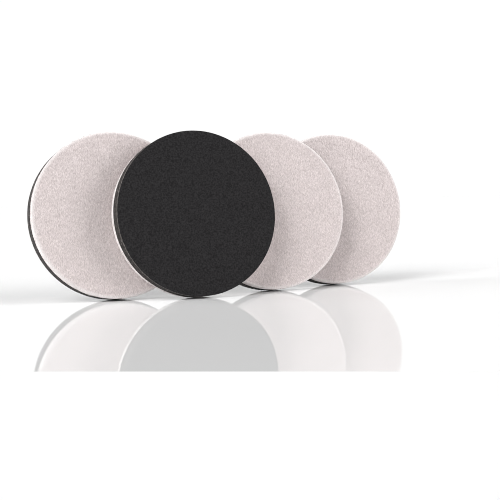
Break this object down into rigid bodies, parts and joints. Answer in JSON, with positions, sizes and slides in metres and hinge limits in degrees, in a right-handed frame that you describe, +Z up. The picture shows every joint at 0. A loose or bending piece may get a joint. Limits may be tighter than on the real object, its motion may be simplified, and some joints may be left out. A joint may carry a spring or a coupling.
{
  "type": "furniture slider",
  "caption": "Set of round furniture sliders standing in a leaning row, each a pale felt pad bonded by a film to a black foam pad that grips a furniture foot.",
  "frame": {"origin": "on the floor under the middle of the row's bounding box", "axes": "+X along the row towards the right slider, +Z up, and the sliders' front faces look to -Y"},
  "size_m": [0.2258, 0.0506, 0.0895],
  "materials": {
    "foam": "matte",
    "film": "satin",
    "felt": "matte"
  },
  "bodies": {
    "front_slider": {"front_foam_pad": "foam", "front_adhesive_film": "film", "front_felt_pad": "felt"},
    "left_slider": {"left_foam_pad": "foam", "left_adhesive_film": "film", "left_felt_pad": "felt"},
    "middle_slider": {"middle_foam_pad": "foam", "middle_adhesive_film": "film", "middle_felt_pad": "felt"},
    "right_slider": {"right_foam_pad": "foam", "right_adhesive_film": "film", "right_felt_pad": "felt"}
  },
  "joints": [
    {"name": "left_slider_pull", "type": "slide", "parent": "front_slider", "child": "left_slider", "axis": [-1, 0, 0], "range_m": [0, 0.1]},
    {"name": "middle_slider_pull", "type": "slide", "parent": "front_slider", "child": "middle_slider", "axis": [1, 0, 0], "range_m": [0, 0.1]},
    {"name": "right_slider_pull", "type": "slide", "parent": "front_slider", "child": "right_slider", "axis": [1, 0, 0], "range_m": [0, 0.1]}
  ]
}
